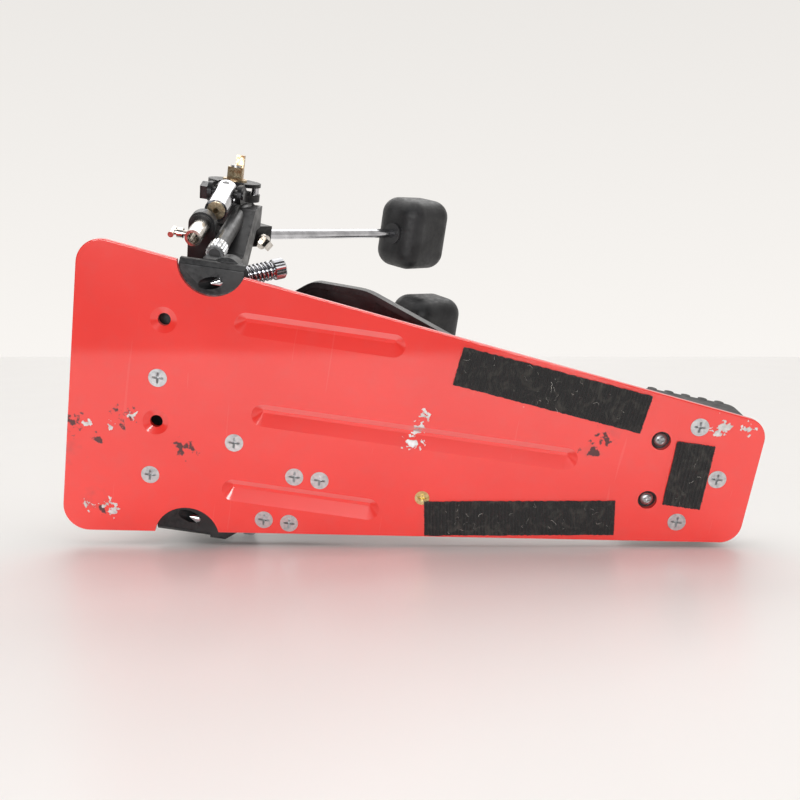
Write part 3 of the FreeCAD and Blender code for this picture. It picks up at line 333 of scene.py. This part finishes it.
def worn_brass():
    n = Nodes("worn brass", 0.3, metal=1.0)
    tarnish = n.noise(2.2, 7.0, distortion=0.8)
    n.colour(n.blend(n.spread(tarnish, 0.35, 0.65), (0.85, 0.72, 0.48), (0.28, 0.15, 0.07)))
    n.rough(n.spread(tarnish, 0.3, 0.7, 0.20, 0.52))
    n.bump(tarnish, 0.04)
    return n.material


MATERIALS = {
    "red_enamel": red_enamel(),
    "hook_tape": hook_tape(),
    "black_cast": black_coat("black casting", (0.011, 0.011, 0.012), (0.036, 0.036, 0.037), 0.40, 0.8),
    "black_board": black_coat("black board coat", (0.010, 0.010, 0.011), (0.030, 0.030, 0.031), 0.34, 1.4),
    "gunmetal": black_coat("gunmetal", (0.045, 0.045, 0.046), (0.085, 0.085, 0.086), 0.36, 0.6),
    "black_screw": black_coat("black oxide", (0.016, 0.016, 0.018), (0.05, 0.05, 0.05), 0.32, 0.4),
    "heel_rubber": black_coat("heel rubber", (0.014, 0.014, 0.015), (0.05, 0.05, 0.05), 0.62, 0.5),
    "zinc": bright_metal("zinc plate", (0.42, 0.43, 0.44), (0.72, 0.73, 0.74), 0.36, (1, 1, 1), 3.0, 0.02),
    "yellow_zinc": bright_metal(
        "yellow zinc", (0.50, 0.36, 0.13), (0.85, 0.73, 0.38), 0.30, (1, 1, 1), 3.0, 0.02
    ),
    "chrome": bright_metal("chrome", (0.42, 0.42, 0.44), (0.72, 0.72, 0.75), 0.12, (1, 1, 0.1), 11.0),
    "nickel": bright_metal("nickel", (0.42, 0.38, 0.34), (0.80, 0.76, 0.71), 0.17, (1, 1, 0.1), 4.0),
    "steel": bright_metal(
        "brushed steel", (0.36, 0.36, 0.37), (0.66, 0.66, 0.67), 0.30, (0.05, 1, 1), 12.0, 0.02
    ),
    "chain_steel": bright_metal(
        "oiled chain", (0.14, 0.13, 0.12), (0.44, 0.42, 0.40), 0.34, (1, 1, 1), 2.5, 0.02
    ),
    "hub_alloy": bright_metal(
        "hub alloy", (0.42, 0.42, 0.43), (0.68, 0.68, 0.69), 0.32, (1, 0.2, 1), 8.0, 0.02
    ),
    "brass": worn_brass(),
    "bronze": bright_metal("bronze bush", (0.48, 0.36, 0.22), (0.86, 0.72, 0.50), 0.38, (1, 1, 1), 1.6, 0.03),
    "rubber": rubber(),
    "black_plastic": moulded_plastic(),
}


def dress_nodes():
    """Give every CAD node the procedural material of its slot in the record."""
    for part in frame["record"]["subparts"]:
        mesh = frame["nodes"][part["node"]].data
        material = MATERIALS[part["material_slot"]]
        mesh.materials.clear()
        mesh.materials.append(material)


# ------------------------------------------------------------------ mesh helpers
def new_object(name, mesh, material, smooth=True):
    obj = bpy.data.objects.new(name, mesh)
    bpy.context.scene.collection.objects.link(obj)
    mesh.materials.append(material)
    if smooth:
        for face in mesh.polygons:
            face.use_smooth = True
    return obj


def tube_mesh(name, path, radius, sides=10):
    """Round tube along a list of points."""
    mesh = bpy.data.meshes.new(name)
    form = bmesh.new()
    add_tube(form, path, radius, sides)
    form.to_mesh(mesh)
    form.free()
    return mesh


def add_tube(form, path, radius, sides):
    """Add a capped round tube to a form, with a frame carried along the path."""
    last = len(path) - 1
    normal = None
    rings = []
    for i, point in enumerate(path):
        along = (path[min(i + 1, last)] - path[max(i - 1, 0)]).normalized()
        if normal is None:
            normal = along.orthogonal().normalized()
        normal = (normal - along * normal.dot(along)).normalized()
        across = along.cross(normal)
        ring = []
        for k in range(sides):
            turn = 2 * math.pi * k / sides
            outward = normal * math.cos(turn) + across * math.sin(turn)
            ring.append(form.verts.new(point + outward * radius))
        rings.append(ring)
    for lower, upper in zip(rings, rings[1:]):
        for k in range(sides):
            form.faces.new((lower[k], lower[(k + 1) % sides], upper[(k + 1) % sides], upper[k]))
    form.faces.new(reversed(rings[0]))
    form.faces.new(rings[-1])


def coil_points(start, axis, radius, length, turns, steps=22):
    """Points of a helix with closed end turns, from start along axis."""
    axis = axis.normalized()
    side = axis.orthogonal().normalized()
    across = axis.cross(side)
    total = int(turns * steps)
    points = []
    for i in range(total + 1):
        share = i / total
        eased = min(max((share * turns - 0.8) / (turns - 1.6), 0.0), 1.0)
        rise = 0.06 + 0.88 * (0.94 * eased + 0.06 * share)
        turn = 2 * math.pi * i / steps
        outward = side * math.cos(turn) + across * math.sin(turn)
        points.append(start + axis * length * rise + outward * radius)
    return points


# ------------------------------------------------------------------ hook tape
RIB_PITCH = 1.75
TAPES = (
    ("velcro_left", 20.5, 98.0, 6.6),
    ("velcro_right", 19.3, 98.5, -8.9),
    ("velcro_heel", 35.0, 19.8, 0.0),
)


def tape_axes(node, angle):
    """Middle of a tape's face on the plate, with its directions along and across."""
    low, high = (Vector(corner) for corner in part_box(node))
    turn = math.radians(angle)
    place = Vector(((low.x + high.x) / 2, (low.y + high.y) / 2, high.z))
    return place, Vector((-math.sin(turn), math.cos(turn), 0)), Vector((math.cos(turn), math.sin(turn), 0))


def add_backing(form, place, along, across, length, width, dice):
    """Woven backing with frayed edges."""
    outline = []
    for start, end in (((-1, -1), (1, -1)), ((1, -1), (1, 1)), ((1, 1), (-1, 1)), ((-1, 1), (-1, -1))):
        steps = 60 if start[1] != end[1] else 18
        for i in range(steps):
            share = i / steps
            u = (start[0] + (end[0] - start[0]) * share) * width / 2
            v = (start[1] + (end[1] - start[1]) * share) * length / 2
            u *= 1.0 - dice.uniform(0.0, 0.45) * MM / (width / 2)
            v *= 1.0 - dice.uniform(0.0, 0.35) * MM / (length / 2)
            outline.append(form.verts.new(place + across * u + along * v))
    face = form.faces.new(outline)
    lowered = bmesh.ops.extrude_face_region(form, geom=[face])["geom"]
    moved = [item for item in lowered if isinstance(item, bmesh.types.BMVert)]
    bmesh.ops.translate(form, verts=moved, vec=(0, 0, -0.95 * MM))


def add_hook_rows(form, place, along, across, length, width, dice):
    """Rows of hooks across the tape: a wavy ridge with short stubs on it."""
    rows = int((length - 1.2 * MM) / (RIB_PITCH * MM))
    for row in range(rows + 1):
        v = -length / 2 + 0.6 * MM + row * (length - 1.2 * MM) / rows
        half = width / 2 - dice.uniform(0.2, 0.7) * MM
        path = []
        steps = 14
        for i in range(steps + 1):
            u = -half + 2 * half * i / steps
            bend = dice.uniform(-0.10, 0.10) * MM
            path.append(place + across * u + along * (v + bend) + Vector((0, 0, -1.02 * MM)))
        add_tube(form, path, 0.38 * MM, 6)
        stubs = int(width / (1.3 * MM))
        for i in range(stubs):
            if dice.random() < 0.15:
                continue
            u = -half + 2 * half * (i + dice.uniform(0.2, 0.8)) / stubs
            foot = place + across * u + along * (v + dice.uniform(-0.2, 0.2) * MM) + Vector((0, 0, -1.2 * MM))
            tip = foot + Vector((dice.uniform(-0.45, 0.45), dice.uniform(-0.45, 0.45), -0.52)) * MM
            add_tube(form, [foot, tip], 0.16 * MM, 4)


def add_lint(form, place, along, across, length, width, dice):
    """Stray pale fibres caught in the hooks."""
    for _ in range(int(length * width / MM ** 2 / 70)):
        u = dice.uniform(-0.46, 0.46) * width
        v = dice.uniform(-0.47, 0.47) * length
        turn = dice.uniform(0, 2 * math.pi)
        step = dice.uniform(0.2, 0.6) * MM
        path = []
        for i in range(dice.randint(4, 9)):
            path.append(place + across * u + along * v + Vector((0, 0, -dice.uniform(1.50, 1.74) * MM)))
            turn += dice.uniform(-0.9, 0.9)
            u = min(max(u + step * math.cos(turn), -0.49 * width), 0.49 * width)
            v = min(max(v + step * math.sin(turn), -0.49 * length), 0.49 * length)
        add_tube(form, path, dice.uniform(0.04, 0.085) * MM, 4)


def form_piece(name, form, material, node):
    mesh = bpy.data.meshes.new(name)
    form.normal_update()
    form.to_mesh(mesh)
    form.free()
    piece = new_object(name, mesh, material, smooth=False)
    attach(piece, "base")
    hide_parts(node)


def hook_tapes():
    for count, (node, width, length, angle) in enumerate(TAPES):
        dice = random.Random(11 + count)
        place, along, across = tape_axes(node, angle)
        size = (place, along, across, length * MM, width * MM, dice)
        woven = bmesh.new()
        add_backing(woven, *size)
        add_hook_rows(woven, *size)
        form_piece(node + "_hooks", woven, MATERIALS["hook_tape"], node)
        fibres = bmesh.new()
        add_lint(fibres, *size)
        form_piece(node + "_lint", fibres, lint_fibre(), node)


# ------------------------------------------------------------------ wound springs
SPUR_DIRECTION = Vector((0.2404, 0.8314, 0.5009)).normalized()
SPUR_COIL_LENGTH = 13.9 * MM
SPUR_COIL_RADIUS = 4.3 * MM
SPUR_WIRE = 0.62 * MM
SPUR_COIL_TURNS = 7.2
RETURN_COIL_TURNS = 15
RETURN_WIRE = 1.0 * MM


def spur_springs():
    for name, side in (("left_spur_spring", 1), ("right_spur_spring", -1)):
        axis = Vector((SPUR_DIRECTION.x * side, SPUR_DIRECTION.y, SPUR_DIRECTION.z))
        start = middle(name) - axis * SPUR_COIL_LENGTH / 2
        path = coil_points(start, axis, SPUR_COIL_RADIUS, SPUR_COIL_LENGTH, SPUR_COIL_TURNS)
        piece = new_object(name + "_coil", tube_mesh(name, path, SPUR_WIRE), MATERIALS["chrome"])
        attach(piece, "spur_left" if side > 0 else "spur_right")
        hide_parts(name)
        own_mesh(piece)


def return_spring():
    low, high = (Vector(corner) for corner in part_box("return_spring"))
    foot = Vector(((low.x + high.x) / 2, (low.y + high.y) / 2, low.z))
    radius = (high.x - low.x) / 2 - RETURN_WIRE
    path = coil_points(foot, Vector((0, 0, 1)), radius, high.z - low.z, RETURN_COIL_TURNS)
    coil = tube_mesh("return_spring_coil", path, RETURN_WIRE, 12)
    piece = new_object("return_spring_coil", coil, MATERIALS["steel"])
    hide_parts("return_spring")
    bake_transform(piece)


# ------------------------------------------------------------------ stage
def floor_axes():
    up = CAMERA_UP * math.cos(VIEW_DIP) + CAMERA_BACK * math.sin(VIEW_DIP)
    ahead = (-CAMERA_BACK + up * up.dot(CAMERA_BACK)).normalized()
    return up.normalized(), ahead, CAMERA_RIGHT.normalized()


def lowest_along(up):
    """Height of the object's lowest point along the floor's upward direction."""
    return min(up.dot(vertex.co) for node in frame["nodes"].values() for vertex in node.data.vertices)


def one_sided_floor():
    n = Nodes("pale table", 0.5, colour=TABLE_COLOUR)
    n.colour(n.blend(n.noise(220.0, 3.0), TABLE_COLOUR, tuple(0.985 * c for c in TABLE_COLOUR)))
    n.rough(n.spread(n.noise(60.0, 4.0), 0.3, 0.7, 0.34, 0.42))
    n.set("Specular IOR Level", 0.35)
    n.bump(n.noise(5.0, 2.0), 0.01)
    output = n.tree.nodes["Material Output"]
    clear = n.add("ShaderNodeBsdfTransparent")
    choose = n.add("ShaderNodeMixShader")
    facing = n.add("ShaderNodeNewGeometry").outputs["Backfacing"]
    n.link(facing, choose.inputs[0])
    n.link(n.shader.outputs[0], choose.inputs[1])
    n.link(clear.outputs[0], choose.inputs[2])
    n.link(choose.outputs[0], output.inputs["Surface"])
    return n.material


def make_floor():
    up, ahead, right = floor_axes()
    level = lowest_along(up)
    height = up.dot(CAMERA_PLACE) - level
    foot = CAMERA_PLACE - up * height
    back = height / math.tan(TABLE_BACK_DIP)
    front = ((-TABLE_SIDE, TABLE_FRONT_LEFT), (TABLE_SIDE, TABLE_FRONT_RIGHT))
    rear = ((TABLE_SIDE, back), (-TABLE_SIDE, back))
    corners = [foot + right * x + ahead * y for x, y in front + rear]
    mesh = bpy.data.meshes.new("table")
    mesh.from_pydata([tuple(c) for c in corners], [], [(0, 1, 2, 3)])
    table = new_object("table", mesh, one_sided_floor(), smooth=False)
    if mesh.polygons[0].normal.dot(up) < 0:
        mesh.flip_normals()


def world_ramp(tree, axis, low, high, start, end):
    """Brightness that changes evenly between two heights along a direction."""
    facing = tree.nodes.new("ShaderNodeVectorMath")
    facing.operation = "DOT_PRODUCT"
    tree.links.new(tree.nodes.new("ShaderNodeTexCoord").outputs["Generated"], facing.inputs[0])
    facing.inputs[1].default_value = tuple(axis)
    ramp = tree.nodes.new("ShaderNodeMapRange")
    tree.links.new(facing.outputs["Value"], ramp.inputs[0])
    for number, socket in zip((low, high, start, end), list(ramp.inputs)[1:5]):
        socket.default_value = number
    return ramp.outputs[0]


def make_world():
    """Pale room: the wall ahead is brightest near the table, and the room behind is dark."""
    world = bpy.data.worlds.new("room")
    bpy.context.scene.world = world
    world.use_nodes = True
    tree = world.node_tree
    up, ahead, right = floor_axes()
    # Each ramp: two heights along its direction, and the brightness at each.
    strength = tree.nodes.new("ShaderNodeMath")
    strength.operation = "MULTIPLY"
    tree.links.new(world_ramp(tree, ahead, -0.45, 0.35, 0.07, 1.0), strength.inputs[0])
    tree.links.new(world_ramp(tree, up, -0.09, 0.25, 1.10, 0.97), strength.inputs[1])
    light = tree.nodes["Background"]
    light.inputs["Color"].default_value = (*WALL_COLOUR, 1.0)
    tree.links.new(strength.outputs[0], light.inputs["Strength"])


def area_light(name, place, target, size, power):
    lamp = bpy.data.lights.new(name, "AREA")
    lamp.shape = "RECTANGLE"
    lamp.size, lamp.size_y = size
    lamp.energy = power
    obj = bpy.data.objects.new(name, lamp)
    bpy.context.scene.collection.objects.link(obj)
    direction = (target - place).normalized()
    obj.matrix_world = Matrix.Translation(place) @ direction.to_track_quat("-Z", "Y").to_matrix().to_4x4()


def make_lights():
    up, ahead, right = floor_axes()
    target = at(0, 0, 60)
    area_light("overhead", target + up * 1.4 - ahead * 0.15, target, (1.8, 1.4), 10.5)
    area_light("far table", target + up * 1.9 + ahead * 2.2, target + ahead * 2.0, (3.2, 2.0), 42.0)
    area_light("key", target + up * 0.12 - ahead * 1.5 - right * 0.1, target, (1.3, 0.4), 16.5)


def make_camera():
    camera = bpy.data.cameras.new("view")
    camera.lens = CAMERA_LENS
    camera.sensor_width = 36.0
    camera.clip_start = 0.01
    obj = bpy.data.objects.new("view", camera)
    bpy.context.scene.collection.objects.link(obj)
    turn = Matrix((CAMERA_RIGHT, CAMERA_UP, CAMERA_BACK)).transposed().to_4x4()
    obj.matrix_world = Matrix.Translation(CAMERA_PLACE) @ turn
    bpy.context.scene.camera = obj


dress_nodes()
hook_tapes()
spur_springs()
return_spring()
make_floor()
make_world()
make_lights()
make_camera()
bpy.context.scene.view_settings.view_transform = "Standard"
